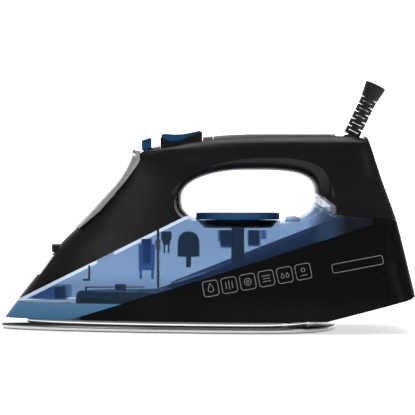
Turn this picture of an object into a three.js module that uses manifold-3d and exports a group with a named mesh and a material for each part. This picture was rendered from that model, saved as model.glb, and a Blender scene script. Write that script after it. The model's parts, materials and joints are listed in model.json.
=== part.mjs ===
// A steam iron, built from separate pieces, in millimetres, +Z up.
// X runs from the nose (-X) to the heel (+X). Lengths below are measured from a station near the middle of the
// ironing face, and every node is moved by CENTRE in the end, so that the origin is under the object's middle.
// The body is one tapering form: a stack of plan outlines, each a superellipse with a pointed nose and a squarer
// tail. The housing, the water tank, the lower body and the heel cover are shells cut from that form along the
// parting lines, so neighbouring skins run on into each other with a thin gap.
import * as THREE from "three";
import { mergeVertices } from "three/addons/utils/BufferGeometryUtils.js";
import Module from "manifold-3d";

const wasm = await Module();
wasm.setup();

// ---- Driving dimensions ----
const GAP = 0.3; // between fixed neighbours
const WALL = 2.3; // thickness of the moulded shells
const FAR = 200; // beyond the whole object, for cutting shapes
const CENTRE = 2.167;
const SIDES = 18; // steps along each half of a plan outline

const SOLE = { top: 4.3, nose: -152.8, tail: 95, half: 58, noseForm: 1.55, tailForm: 2.3 };
const BODY_FLOOR = 8.2;
// Levels of the body: height, nose, tail, half width, nose exponent (higher is blunter), tail exponent.
const LEVELS = [
  [BODY_FLOOR, -150, 151, 55, 1.55, 7],
  [24, -138.3, 150.5, 54, 1.6, 7],
  [45, -122, 147, 48.5, 1.7, 6],
  [63, -108.3, 143, 41, 1.8, 6],
  [80, -90.6, 139.5, 33.5, 1.9, 5],
  [98, -73.4, 133.5, 26, 2.0, 4.5],
  [112, -61, 128.5, 20.8, 2.1, 4],
  [123, -54.6, 125, 18.6, 2.2, 4],
  [130, -51.5, 123, 17.6, 2.3, 4],
  [136, -30, 121, 15.2, 2.3, 4],
  [140, -12, 119.5, 11.4, 2.2, 3.5],
  [142.6, 10, 114, 6.6, 2, 3],
  [143.6, 30, 100, 2, 2, 2],
];
// The housing meets the tank along this line, which rises towards the heel.
const UPPER_LINE = { x: -137, z: 23, slope: 0.496 };
// The tank meets the lower body along this one.
const LOWER_LINE = { x: -92.5, z: 10.3, slope: 0.315 };
const HANDLE_GAP = { x: 30, z: 97, half: 49.3, up: 20, down: 18.6 };
const COLUMN_FOOT = [[79, 93], [90.5, 84.5], [124, 81.3], [160, 78]]; // lower edge of the rear column
const HEEL_FACE = { x: 147.4, z: 30, slope: -0.222 }; // the flat face that the iron is stood up on
const COLUMN_FACE = { x: 137, z: 80.5, slope: -0.318 };
const UNDERSIDE = { x: 84, z: BODY_FLOOR, slope: 0.255 };
const HEEL_SEAM = 127;
const DIAL = { x: 22.4, r: 30.9, low: 80.3, high: 85.6 };
const SHAFT_R = 4.8;
const DISH = [[-30.6, 138.6], [-26.5, 138], [-22, 138.4], [-17, 140]];
const BUTTONS = { front: -34.6, rear: -3.9, half: 8.6, low: 125, travel: 3.5 };
const PUMP = { x: -30, y: 6.2, r: 4.6, low: 88, high: 108 };
const LEVER = { needle: -36.6, x: -45, top: 140.8, half: 5, travel: 3 };
const DOOR = { low: 74, high: 131, half: 12, skin: 2.2, lift: 0.4 };
const GUARD = { x: 103.5, z: 136.5, tilt: THREE.MathUtils.degToRad(26), r: 6, length: 48, flare: 7.85, bore: 3.8 };

// ---- Building helpers ----
const onLine = (line, x) => line.z + line.slope * (x - line.x);
const onFace = (face, z) => face.x + face.slope * (z - face.z);

function solidOf(geometry) {
  const flat = geometry.index ? geometry.toNonIndexed() : geometry.clone();
  flat.deleteAttribute("normal");
  flat.deleteAttribute("uv");
  const merged = mergeVertices(flat, 1e-3);
  const vertProperties = merged.attributes.position.array;
  return new wasm.Manifold(new wasm.Mesh({ numProp: 3, vertProperties, triVerts: new Uint32Array(merged.index.array) }));
}

function geometryOf(solid) {
  const mesh = solid.getMesh();
  const geometry = new THREE.BufferGeometry();
  geometry.setAttribute("position", new THREE.BufferAttribute(mesh.vertProperties, 3));
  geometry.setIndex(new THREE.BufferAttribute(mesh.triVerts, 1));
  return geometry;
}

const placed = (geometry, x, y, z) => solidOf(geometry.translate(x, y, z));
const union = (...solids) => solids.reduce((a, b) => a.add(b));

// A box between two corners.
function block(x0, y0, z0, x1, y1, z1) {
  const geometry = new THREE.BoxGeometry(x1 - x0, y1 - y0, z1 - z0);
  return placed(geometry, (x0 + x1) / 2, (y0 + y1) / 2, (z0 + z1) / 2);
}

// An upright cylinder or cone.
function post(x, y, z0, z1, r, rTop = r, sides = 12) {
  const geometry = new THREE.CylinderGeometry(rTop, r, z1 - z0, sides).rotateX(Math.PI / 2);
  return placed(geometry, x, y, (z0 + z1) / 2);
}

// A cylinder along Y.
function crossRod(x, z, y0, y1, r, sides = 12) {
  return placed(new THREE.CylinderGeometry(r, r, y1 - y0, sides), x, (y0 + y1) / 2, z);
}

// A side-view polygon of [x, z] points, carried across the width.
function sidePrism(points, y0 = -FAR, y1 = FAR) {
  const shape = new THREE.Shape(points.map(([x, z]) => new THREE.Vector2(x, z)));
  const geometry = new THREE.ExtrudeGeometry(shape, { depth: y1 - y0, bevelEnabled: false });
  return solidOf(geometry.rotateX(Math.PI / 2).translate(0, y1, 0));
}

// A solid through rings of points that all hold the same number of them.
function loft(rings) {
  const count = rings[0].length;
  const centre = (ring) => ring.reduce((sum, p) => sum.add(p), new THREE.Vector3()).divideScalar(count);
  const points = [...rings.flat(), centre(rings[0]), centre(rings.at(-1))];
  const last = (rings.length - 1) * count;
  const index = [];
  for (let i = 0; i < count; i++) {
    const j = (i + 1) % count;
    for (let k = 0; k < last; k += count) index.push(k + i, k + j, k + count + j, k + i, k + count + j, k + count + i);
    index.push(points.length - 2, j, i, points.length - 1, last + i, last + j);
  }
  const geometry = new THREE.BufferGeometry().setFromPoints(points).setIndex(index);
  const made = solidOf(geometry);
  if (made.volume() > 0) return made;
  return solidOf(geometry.setIndex(index.reverse()));
}

// A plan outline at one height, anticlockwise from above.
function planRing(z, nose, tail, half, noseForm, tailForm, widest = nose + 0.66 * (tail - nose), steps = SIDES) {
  const side = (phi) => {
    const front = phi < Math.PI / 2;
    const form = 2 / (front ? noseForm : tailForm);
    const reach = front ? nose - widest : tail - widest;
    return [widest + reach * Math.abs(Math.cos(phi)) ** form, half * Math.sin(phi) ** form];
  };
  const ring = [];
  for (let i = 0; i <= steps; i++) ring.push(side((Math.PI * i) / steps));
  for (let i = steps - 1; i > 0; i--) ring.push(side((Math.PI * i) / steps).map((v, k) => (k ? -v : v)));
  return ring.map(([x, y]) => new THREE.Vector3(x, y, z));
}

// The whole body form, taken in by inset all round.
function bodyForm(inset = 0, low = BODY_FLOOR, high = LEVELS.at(-1)[0]) {
  const rings = LEVELS.map(([z, nose, tail, half, noseForm, tailForm], i) => {
    const height = i === 0 ? low : z - (i > 8 ? inset : 0);
    return planRing(height, nose + 1.35 * inset, tail - inset, Math.max(half - inset, 0.8), noseForm, tailForm);
  });
  const form = loft(rings.filter((ring) => ring[0].z <= high + 1e-6));
  const heel = HEEL_FACE.x - inset;
  const rear = sidePrism([
    [-FAR, -FAR], [heel + 12, -FAR], [onFace(HEEL_FACE, 18) - inset, 18], [heel, HEEL_FACE.z],
    [COLUMN_FACE.x - inset, COLUMN_FACE.z], [onFace(COLUMN_FACE, 150) - inset, 150], [-FAR, 150],
  ]);
  return form.intersect(rear);
}

// The opening for the hand: a rounded hole that widens towards both sides, so that the grip is round.
function handGap(grow = 0) {
  const stations = [0, 7, 11, 14.5, 17, 18.6, 24, 60];
  const flare = [0, 0, 0.8, 2.6, 5.4, 9.5, 15, 26];
  const all = [...stations.slice(1).map((y) => -y).reverse(), ...stations];
  const rings = all.map((y) => {
    const widen = flare[stations.indexOf(Math.abs(y))];
    const ring = [];
    for (let i = 0; i < 40; i++) {
      const angle = (2 * Math.PI * i) / 40;
      const [c, s] = [Math.cos(angle), Math.sin(angle)];
      const upper = s >= 0;
      const form = 2 / (c < 0 ? (upper ? 2.1 : 3.2) : (upper ? 3.4 : 2.6));
      const rise = upper ? HANDLE_GAP.up + grow + Math.min(widen, 12) : HANDLE_GAP.down + grow + 0.16 * widen;
      const reach = HANDLE_GAP.half + grow + (upper ? widen : widen * 0.45) * 0.8;
      const x = HANDLE_GAP.x + reach * Math.sign(c) * Math.abs(c) ** form;
      const z = HANDLE_GAP.z + rise * Math.sign(s) * Math.abs(s) ** form;
      ring.push(new THREE.Vector3(x, y, z));
    }
    return ring;
  });
  return loft(rings);
}

// A tube of n sides along points.
function pipe(points, r, steps, sides = 8) {
  const shape = new THREE.Shape();
  for (let i = 0; i < sides; i++) {
    const a = (2 * Math.PI * i) / sides;
    if (i) shape.lineTo(r * Math.cos(a), r * Math.sin(a));
    else shape.moveTo(r, 0);
  }
  const path = new THREE.CatmullRomCurve3(points.map((p) => new THREE.Vector3(...p)));
  return solidOf(new THREE.ExtrudeGeometry(shape, { steps, extrudePath: path, bevelEnabled: false }));
}

// ---- Finishes ----
const finish = (color, roughness, metalness = 0, opacity = 1) =>
  new THREE.MeshStandardMaterial({ color, roughness, metalness, opacity, transparent: opacity < 1 });
const BLACK = finish(0x1c1c1e, 0.4);
const DARK = finish(0x2a2a2c, 0.55);
const TINT = finish(0x6f97c4, 0.08, 0, 0.4);
const BLUE = finish(0x1f4f86, 0.35);
const STEEL = finish(0xb9bab8, 0.25, 1);
const CHROME = finish(0xd9dadb, 0.08, 1);
const CAST = finish(0x9a9c9e, 0.5, 1);
const BRASS = finish(0xb08d4a, 0.35, 1);
const RUBBER = finish(0x232325, 0.8);
const CLEAR = finish(0xcfdbe6, 0.05, 0, 0.35);

const iron = new THREE.Group();
function add(name, solid, material) {
  const mesh = new THREE.Mesh(geometryOf(solid).translate(CENTRE, 0, 0), material);
  mesh.name = name;
  iron.add(mesh);
}

// ---- Soleplate and heater ----
function sole(inset, z) {
  return planRing(z, SOLE.nose + 1.4 * inset, SOLE.tail - inset, SOLE.half - inset, SOLE.noseForm, SOLE.tailForm, 38, 22);
}

function soleplate() {
  const plate = loft([sole(2.2, 0), sole(0.5, 0.9), sole(0, 2), sole(0.2, 3.6), sole(1, SOLE.top)]);
  const holes = [];
  const row = (count, x0, x1, y0, y1) => {
    for (let i = 0; i < count; i++) {
      const t = i / (count - 1);
      const x = x0 + t * (x1 - x0);
      const y = y0 + Math.sin((t * Math.PI) / 2) * (y1 - y0);
      for (const side of y > 0.1 ? [1, -1] : [0]) holes.push(post(x, side * y, -1, 2.2, 1.5, 1.5, 6));
    }
  };
  row(9, -128, 34, 8.5, 42);
  row(3, -136, -112, 0, 0);
  return plate.subtract(union(...holes));
}

function heatingBase() {
  const ring = (z, inset) => planRing(z, -128 + 1.4 * inset, 74 - inset, 48 - inset, 1.6, 2.4, 36, 14);
  const base = loft([ring(SOLE.top + GAP, 0), ring(8.6, 0.4), ring(10, 2.4)]);
  const chamber = loft([ring(7.4, 18), ring(11, 16)]);
  return base.subtract(chamber).subtract(block(63.5, -60, BODY_FLOOR - GAP, 90, 60, 20));
}

function skirt() {
  const ring = (z, inset) => planRing(z, -134 + 1.4 * inset, 79 - inset, 53.2 - inset, 1.58, 2.4, 36, 20);
  const outer = loft([ring(SOLE.top + GAP, 0), ring(BODY_FLOOR - GAP, 0.5)]);
  return outer.subtract(loft([ring(0, 2.2), ring(12, 2.2)]));
}

function chamberCover() {
  const ring = (z, inset) => planRing(z, -104 + inset, 56 - inset, 31 - inset, 1.6, 2.4, 30, 12);
  return loft([ring(10.3, 0), ring(11.8, 0.4)]);
}

function heatingElement() {
  const arm = [[66, 13], [46, 34], [10, 38], [-40, 30.5], [-90, 13.5]];
  const left = arm.map(([x, y]) => [x, y, 14.8]);
  const right = [...arm].reverse().map(([x, y]) => [x, -y, 14.8]);
  return pipe([...left, [-103, 0, 14.8], ...right], 2.7, 36);
}

function thermostat() {
  const body = union(post(DIAL.x, 0, 12.1, 15.6, 11, 11, 14), block(DIAL.x - 4, -5, 15, DIAL.x + 17, 5, 17.4));
  return body;
}

function heatShield() {
  const ring = (z, inset) => planRing(z, -98 + inset, 88 - inset, 40 - inset, 1.8, 3, 20, 14);
  const tray = loft([ring(18.2, 0), ring(25.4, 1.2), ring(27.7, 3)]);
  const under = loft([ring(10, 2), ring(25.2, 4)]);
  return tray.subtract(union(under, post(DIAL.x, 0, 10, 40, SHAFT_R + 1), post(LEVER.needle, 0, 10, 40, 3.9),
    block(76, -12, 10, 92, 12, 20.4)));
}

// ---- Body shells ----
const gap = handGap();
const gapSkin = handGap(WALL);
const form = bodyForm();
const inner = bodyForm(WALL, 0);

const upperX = [-165, -17.5];
const upperEdge = (drop) => [
  ...upperX.map((x) => [x, onLine(UPPER_LINE, x) - drop]),
  [30, 97],
  ...COLUMN_FOOT.map(([x, z]) => [x, z - drop]),
];
const lowerEdge = (rise, to) => [[LOWER_LINE.x - 8, onLine(LOWER_LINE, LOWER_LINE.x - 8) + rise], [to, onLine(LOWER_LINE, to) + rise]];

// Where the front face is open for filling, and the shape of the duct below it.
const FILLER = { x0: -83, x1: -68, half: 7 };

function housing() {
  const above = sidePrism([...upperEdge(0), [160, FAR], [-165, FAR]]);
  const hollow = inner.intersect(sidePrism([...upperEdge(1), [160, FAR], [-165, FAR]])).subtract(gapSkin);
  let shell = form.intersect(above).subtract(gap).subtract(hollow);
  const cuts = [
    block(BUTTONS.front - 0.5, -BUTTONS.half - 0.5, BUTTONS.low - 6, BUTTONS.rear + 0.5, BUTTONS.half + 0.5, FAR),
    block(LEVER.x - 4.6, -LEVER.travel - 2, 124, LEVER.x + 0.4, LEVER.travel + 2, FAR),
    block(FILLER.x0, -FILLER.half, 70, FILLER.x1, FILLER.half, FAR),
    block(GUARD.x - 9.3, -8.4, 127.5, 115.4, 8.4, FAR),
    coverCut(0),
    nozzleBarrel(3.5, 8),
    trimCut(GAP),
    sidePrism(LENS.map(([x, z]) => [x, z])),
  ];
  for (const cut of cuts) shell = shell.subtract(cut);
  return shell;
}

const LENS = [[70, 99.5], [81.6, 99.5], [93, 90.5], [93, 80], [70, 80]];

function pilotLens() {
  const corner = LENS.map(([x, z], i) => [x - (i === 1 || i === 2 ? 0.4 : 0), i < 2 ? z - 0.4 : z]);
  const foot = sidePrism([...upperEdge(-0.1), [160, FAR], [-165, FAR]]);
  const outer = form.intersect(sidePrism(corner)).intersect(foot).subtract(gap);
  return outer.subtract(block(84, -24, 70, 90.3, 24, 89.5));
}

const coverCut = (inset) => block(4 + inset, -8.5 + inset, 135, 90 - inset, 8.5 - inset, FAR);

function handleCover() {
  const hollow = inner.subtract(gapSkin);
  return form.subtract(hollow).intersect(coverCut(GAP)).intersect(block(0, -20, 138, 100, 20, FAR));
}

function waterTank() {
  const rear = 119;
  const skin = sidePrism([...upperEdge(0.35).filter(([x]) => x < rear), [rear, 81.4], ...lowerEdge(0.35, rear).reverse(),
    [-102, BODY_FLOOR], [-165, BODY_FLOOR]]);
  const basin = bodyForm(WALL + 0.6, 0).intersect(sidePrism([
    [-34, 28.1], [52, 28.1], [rear, 60], [rear, onLine(LOWER_LINE, rear) + 4], [-34, onLine(LOWER_LINE, -34) + 4]]));
  const roof = upperEdge(WALL + 0.35).filter(([x]) => x > -100 && x < 100);
  const upperRoom = inner.intersect(sidePrism([...roof, [108, 80.2], [108, onLine(LOWER_LINE, 108) + 2.7],
    [-19, onLine(LOWER_LINE, -19) + 2.7], [-26, 30.4], [-104, 30.4], [-104, 22.1], [-133.5, 22.1]])).subtract(gapSkin);
  const basinRoom = bodyForm(2 * WALL + 0.6, 0).intersect(sidePrism([
    [-40, 30.4], [51, 30.4], [rear - WALL, 62.6], [rear - WALL, onLine(LOWER_LINE, rear) + 4.5],
    [-40, onLine(LOWER_LINE, -40) + 9]]));
  const under = inner.intersect(sidePrism([[-165, 0], [-165, 19.9], [-101.7, 19.9], [-101.7, 28.1], [-34, 28.1], [-34, 0]]));
  let tank = union(form.intersect(skin).subtract(gap), basin).subtract(union(upperRoom, basinRoom)).subtract(under);
  // A pocket for the dial, the tube that its shaft runs in, and the sockets of the dial's clips.
  const sockets = [[2.2, 2.7, 64.5], [12, 5.8, 58], [33.6, 4.8, 61]];
  tank = union(tank, post(DIAL.x, 0, 71.6, 76, 29, 31.6, 28), post(DIAL.x, 0, 28.6, 74, SHAFT_R + 2.4),
    ...sockets.map(([x, r, z]) => post(x, 13, z, 73, r * 0.9, r, 10)));
  tank = tank.subtract(union(post(DIAL.x, 0, 74, 90, 31.2, 31.6, 28), post(DIAL.x, 0, 20, 90, SHAFT_R + 0.7),
    ...sockets.map(([x, r, z]) => post(x, 13, z + 1.6, 90, r - 1.4, r - 1.4, 10))));
  const openings = [block(FILLER.x0 + 1.5, -FILLER.half + 1.5, 35, FILLER.x1 - 1.5, FILLER.half - 1.5, 70),
    post(LEVER.needle, 0, 20, 90, 2, 2, 8), post(CARTRIDGE.x, 0, 60, 90, CARTRIDGE.r - 1.6), nozzleBarrel(3.5, 8),
    block(-14 - 2.4, -2.4, 70, -14 + 2.4, 2.4, 86), trimCut(GAP)];
  return tank.subtract(union(...openings));
}

const CARTRIDGE = { x: -45, r: 6.1, low: 46 };

function lowerBody() {
  const region = sidePrism([[LOWER_LINE.x, BODY_FLOOR], [UNDERSIDE.x, BODY_FLOOR], [HEEL_SEAM, onLine(UNDERSIDE, HEEL_SEAM)],
    [HEEL_SEAM, 80.6], [119.4, 81.3], [119.4, onLine(LOWER_LINE, 119.4)], [LOWER_LINE.x + 1.5, LOWER_LINE.z + 0.5]]);
  const room = inner.intersect(sidePrism([[-120, -5], [64, -5], [64, 10.8], [UNDERSIDE.x, 10.8], [160, onLine(UNDERSIDE, 160) + 2.6],
    [160, 90], [-120, 90]]));
  return form.intersect(region).subtract(room);
}

function rearCover() {
  const x = HEEL_SEAM + GAP;
  const region = sidePrism([[x, onLine(UNDERSIDE, x)], [144.5, onLine(UNDERSIDE, 144.5)], [147.2, 25.2], [160, 25.2],
    [160, 78 - 0.35], [x, 80.6]]);
  const room = inner.intersect(sidePrism([[100, onLine(UNDERSIDE, 100) + 2.6], [160, onLine(UNDERSIDE, 160) + 2.6],
    [160, 77], [100, 77]]));
  return form.intersect(region).subtract(room);
}

// ---- Front: door, duct, nozzle and trim ----
function fillerDoor() {
  const skin = bodyForm(-DOOR.lift - DOOR.skin).subtract(bodyForm(-DOOR.lift));
  const front = sidePrism([[-160, DOOR.low], [-94, DOOR.low], [-80, 87], [-62, 108], [-52, 120], [-46, 131], [-160, DOOR.high + 6]]);
  const plate = skin.intersect(front).intersect(block(-160, -DOOR.half, 0, -49.8, DOOR.half, DOOR.high));
  const lip = sidePrism([[-54.9, 128], [-52.7, 128], [-53, 132.2], [-55, 131.6]], -7, 7);
  const hinge = crossRod(HINGE.x, HINGE.z, -6, 6, 1.7, 10);
  return union(plate, lip, hinge);
}

const HINGE = { x: -99.4, z: 74.6 };

function fillerDuct() {
  const column = (grow, low) => block(FILLER.x0 - grow, -FILLER.half - grow, low, FILLER.x1 + grow, FILLER.half + grow, FAR);
  const above = sidePrism([...upperEdge(-0.4), [160, FAR], [-165, FAR]]);
  const room = bodyForm(WALL + GAP + 0.3, 0).intersect(above);
  return room.intersect(column(1.4, 0)).subtract(column(0, 0));
}

function nozzleBarrel(r, length) {
  const barrel = new THREE.CylinderGeometry(r, r, length + 5, 12).rotateZ(Math.PI / 2);
  return placed(barrel, -112.5 + length / 2, 0, 59.3);
}

function sprayNozzle() {
  const bore = new THREE.CylinderGeometry(0.9, 0.9, 4, 6).rotateZ(Math.PI / 2);
  return nozzleBarrel(3.1, 7).subtract(placed(bore, -115.5, 0, 59.3));
}

function trimCut(grow) {
  return sidePrism([[-140, 40 - grow], [-118.6 + grow, 40 - grow], [-112.6 + grow, 53.6 + grow], [-140, 53.6 + grow]], -5 - grow, 5 + grow);
}

const nozzleTrim = () => bodyForm(-1.2).subtract(bodyForm(WALL * 0.8, 0)).intersect(trimCut(0));

// ---- Controls on top ----
function buttonBody(side) {
  const topLine = [[BUTTONS.front, 141.4], [-33, 140.4], ...DISH, [-10, 142.9], [BUTTONS.rear, 145.2]];
  const outline = [[BUTTONS.front, BUTTONS.low], [BUTTONS.rear, BUTTONS.low + 9], ...[...topLine].reverse()];
  const y0 = side > 0 ? 0.35 : -BUTTONS.half;
  const body = sidePrism(outline, y0, y0 + BUTTONS.half - 0.35);
  return union(body, post(PUMP.x, side * PUMP.y, 96, BUTTONS.low + 4, 1.5, 1.5, 8), post(PUMP.x, side * PUMP.y, 95.2, 99, 3, 3, 10));
}

function buttonCap(side) {
  const dish = DISH.map(([x, z]) => [x, z + 0.25]);
  const outline = [[BUTTONS.front + 0.6, 141.4], [-33, 140.7], ...dish, [-10, 143.2], [BUTTONS.rear - 1.2, 145.1],
    [BUTTONS.rear - 1.2, 145.9], [-12, 144.4], [-17.7, 143.3], [-23.7, 143], [-28.5, 143.3], [-32.5, 143.4], [BUTTONS.front + 0.6, 142.8]];
  const y0 = side > 0 ? 1 : -BUTTONS.half + 0.6;
  return sidePrism(outline, y0, y0 + BUTTONS.half - 1.6);
}

function pump(side) {
  const y = side * PUMP.y;
  const body = union(post(PUMP.x, y, PUMP.low, PUMP.high, PUMP.r - 0.2), post(PUMP.x, y, 84, PUMP.low + 1, 1.8, 1.8, 8));
  return body.subtract(post(PUMP.x, y, 91, 120, 3.3));
}

function pumpSpring(side) {
  const turns = 5;
  const perTurn = 7;
  const points = [];
  for (let i = 0; i <= turns * perTurn; i++) {
    const a = (2 * Math.PI * i) / perTurn;
    points.push([PUMP.x + 2.6 * Math.cos(a), side * PUMP.y + 2.6 * Math.sin(a), 109.2 + (12 * i) / (turns * perTurn)]);
  }
  return pipe(points, 0.4, turns * perTurn, 5);
}

function steamLever() {
  const [x0, x1] = [LEVER.x - 3.5, LEVER.x + 3.5];
  const tab = sidePrism([[x0, 131.2], [x1, 133.2], [x1, LEVER.top], [x0, LEVER.top - 2.1]], -LEVER.half, LEVER.half);
  const arm = block(x0 + 1.2, -1.5, 117.5, LEVER.needle + 1.6, 1.5, 119.5);
  return union(tab, block(x0 + 1.2, -1.5, 118, x0 + 3.4, 1.5, 134), arm, post(LEVER.needle, 0, 112, 119.5, 2));
}

function steamNeedle() {
  return union(post(LEVER.needle, 0, 31, 110.8, 1, 1, 8), post(LEVER.needle, 0, 58, 65, 1.9, 1.9, 8),
    post(LEVER.needle, 0, 29.6, 31.5, 0.5, 1, 8));
}

function valveSeat() {
  return post(LEVER.needle, 0, 24.5, 27.9, 3.4, 3.4, 10).subtract(post(LEVER.needle, 0, 20, 30, 1.2, 1.2, 8));
}

// ---- Dial ----
function dialKnob() {
  const profile = [[0, DIAL.low], [30.3, DIAL.low], [DIAL.r, DIAL.low + 0.7], [DIAL.r, DIAL.high - 0.8], [30, DIAL.high], [0, DIAL.high]];
  const points = profile.map(([r, z]) => new THREE.Vector2(r, z));
  return placed(new THREE.LatheGeometry(points, 32).rotateX(Math.PI / 2), DIAL.x, 0, 0);
}

const dialBezel = () => post(DIAL.x, 0, 74.3, 79.9, 25, 30.2, 32).subtract(post(DIAL.x, 0, 76.6, 90, 26, 29, 32))
  .subtract(post(DIAL.x, 0, 70, 90, SHAFT_R + 0.7));
const dialShaft = () => union(post(DIAL.x, 0, 17.8, DIAL.low - GAP, SHAFT_R));

// ---- Tank fittings ----
const cartridge = () => union(post(CARTRIDGE.x, 0, CARTRIDGE.low, 62, CARTRIDGE.r), post(CARTRIDGE.x, 0, 61, 66, CARTRIDGE.r - 2))
  .subtract(post(CARTRIDGE.x, 0, 48, 90, CARTRIDGE.r - 3.2));
const cartridgeFoot = () => union(post(CARTRIDGE.x, 0, 43, CARTRIDGE.low - GAP, CARTRIDGE.r),
  ...[-4.3, 4.3].map((d) => post(CARTRIDGE.x + d, 0, 36.5, 44, 1.1, 1.1, 6)));

function steamPumpDome() {
  const dome = new THREE.LatheGeometry([[0, 53], [8.2, 53], [8.2, 64], [7, 68.4], [4, 71], [0, 71.9]].map(([r, z]) => new THREE.Vector2(r, z)), 16);
  return union(placed(dome.rotateX(Math.PI / 2), -14, 0, 0), post(-14, 0, 45, 54, 1.9, 1.9, 8));
}

const frontBoss = () => post(-109.3, 0, 22.4, 31, 4.4, 4, 10).subtract(post(-109.3, 0, 20, 28, 1.6, 1.6, 6));
const steamNozzleTube = () => pipe([[-36.5, 5.8, 86], [-50, 9, 80.5], [-62, 11, 75], [-75, 11.4, 69.2], [-88, 10.4, 64.5], [-97, 5, 60.5],
  [-101, 0.5, 59.6]], 1.5, 14, 6);

// ---- Cord entry ----
function cordBarrel() {
  const barrel = crossRod(GUARD.x, GUARD.z, -7.8, 7.8, 6.6, 16);
  return barrel;
}

function cordGuard() {
  const profile = [[0, 7.1], [GUARD.r, 7.1], [GUARD.r, 34.5], [GUARD.flare - 0.9, 41], [GUARD.flare, GUARD.length],
    [GUARD.bore, GUARD.length], [GUARD.bore, 36], [0, 36]];
  const turned = new THREE.LatheGeometry(profile.map(([r, z]) => new THREE.Vector2(r, z)), 20).rotateX(Math.PI / 2);
  let guard = solidOf(turned);
  for (let i = 0; i < 5; i++) {
    const z = 9.5 + 5.9 * i;
    guard = guard.subtract(block(-3.9, -9, z, 3.9, 9, z + 1.2));
    if (i < 5) for (const side of [-1, 1]) guard = guard.subtract(block(Math.min(side * 2.4, side * 9), -9, z + 2.9, Math.max(side * 2.4, side * 9), 9, z + 4.1));
  }
  return guard.rotate([0, THREE.MathUtils.radToDeg(GUARD.tilt), 0]).translate([GUARD.x, 0, GUARD.z]);
}

// ---- Wiring ----
const terminalBlock = () => block(92, -9, 101, 112, 9, 112).subtract(block(93.5, -7, 108.5, 110.5, 7, 113));
function wire(y, end) {
  return pipe([[106, y, 99], [112, y, 94], [121.5, y, 86], [122.4, y, 70], [118, y, 46], [106, y, 27], [94, y, 19], ...end],
    1.2, 28, 6);
}

add("soleplate", soleplate(), STEEL);
add("heating_base", heatingBase(), CAST);
add("sole_skirt", skirt(), CHROME);
add("steam_chamber_cover", chamberCover(), CAST);
add("heating_element", heatingElement(), STEEL);
add("thermostat", thermostat(), BRASS);
add("heat_shield", heatShield(), DARK);
add("water_tank", waterTank(), TINT);
add("lower_body", lowerBody(), BLACK);
add("rear_cover", rearCover(), BLACK);
add("handle_housing", housing(), BLACK);
add("handle_cover", handleCover(), DARK);
add("pilot_lens", pilotLens(), CLEAR);
add("filler_door", fillerDoor(), CHROME);
add("filler_duct", fillerDuct(), DARK);
add("spray_nozzle", sprayNozzle(), BLACK);
add("nozzle_trim", nozzleTrim(), CHROME);
for (const [name, side] of [["spray", -1], ["burst", 1]]) {
  add(`${name}_button`, buttonBody(side), BLACK);
  add(`${name}_button_cap`, buttonCap(side), BLUE);
  add(`${name}_pump`, pump(side), DARK);
  add(`${name}_spring`, pumpSpring(side), STEEL);
}
add("steam_lever", steamLever(), BLUE);
add("steam_needle", steamNeedle(), BRASS);
add("valve_seat", valveSeat(), RUBBER);
add("temperature_dial", dialKnob(), BLUE);
add("dial_bezel", dialBezel(), BLACK);
add("dial_shaft", dialShaft(), DARK);
add("scale_cartridge", cartridge(), TINT);
add("cartridge_foot", cartridgeFoot(), DARK);
add("steam_pump_dome", steamPumpDome(), BLACK);
add("front_boss", frontBoss(), DARK);
add("spray_tube", steamNozzleTube(), RUBBER);
add("cord_barrel", cordBarrel(), BLACK);
add("cord_guard", cordGuard(), RUBBER);
add("terminal_block", terminalBlock(), DARK);
add("live_wire", wire(-4.5, [[70, -8, 17], [41.5, -3, 16.2]]), RUBBER);
add("neutral_wire", wire(4.5, [[81, 9, 16.5], [71.2, 12.6, 14.8]]), RUBBER);

export default iron;
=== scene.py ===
import json
import math

import bmesh
import bpy
import numpy as np
from mathutils import Matrix, Vector

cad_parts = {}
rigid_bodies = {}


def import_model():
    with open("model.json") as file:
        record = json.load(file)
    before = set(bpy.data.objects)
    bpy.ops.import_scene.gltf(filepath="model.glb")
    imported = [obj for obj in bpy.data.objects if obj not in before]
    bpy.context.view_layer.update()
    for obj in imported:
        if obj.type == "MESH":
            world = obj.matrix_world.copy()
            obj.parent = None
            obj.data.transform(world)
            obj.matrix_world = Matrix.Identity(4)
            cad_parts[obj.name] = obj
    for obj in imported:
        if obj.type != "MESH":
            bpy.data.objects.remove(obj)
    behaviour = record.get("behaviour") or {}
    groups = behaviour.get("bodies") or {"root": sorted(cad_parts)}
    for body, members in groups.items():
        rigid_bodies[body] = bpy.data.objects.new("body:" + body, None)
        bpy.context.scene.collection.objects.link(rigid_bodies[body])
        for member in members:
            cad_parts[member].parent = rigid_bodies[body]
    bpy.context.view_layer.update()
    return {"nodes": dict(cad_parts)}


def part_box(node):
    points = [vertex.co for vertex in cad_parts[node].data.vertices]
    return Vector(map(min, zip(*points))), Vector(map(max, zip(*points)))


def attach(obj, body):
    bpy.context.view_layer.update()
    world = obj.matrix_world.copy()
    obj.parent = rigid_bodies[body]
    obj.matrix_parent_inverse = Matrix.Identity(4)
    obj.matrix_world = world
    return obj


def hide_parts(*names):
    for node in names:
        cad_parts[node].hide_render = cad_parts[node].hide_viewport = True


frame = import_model()

MM = 0.001
NOSE_X = -152.8
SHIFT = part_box("soleplate")[0].x / MM - NOSE_X
WALL, UNDER_WALL, SEAM = 2.3, 2.6, 0.05
FAR = 220.0
FRONT, BACK = -165, 160

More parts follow.
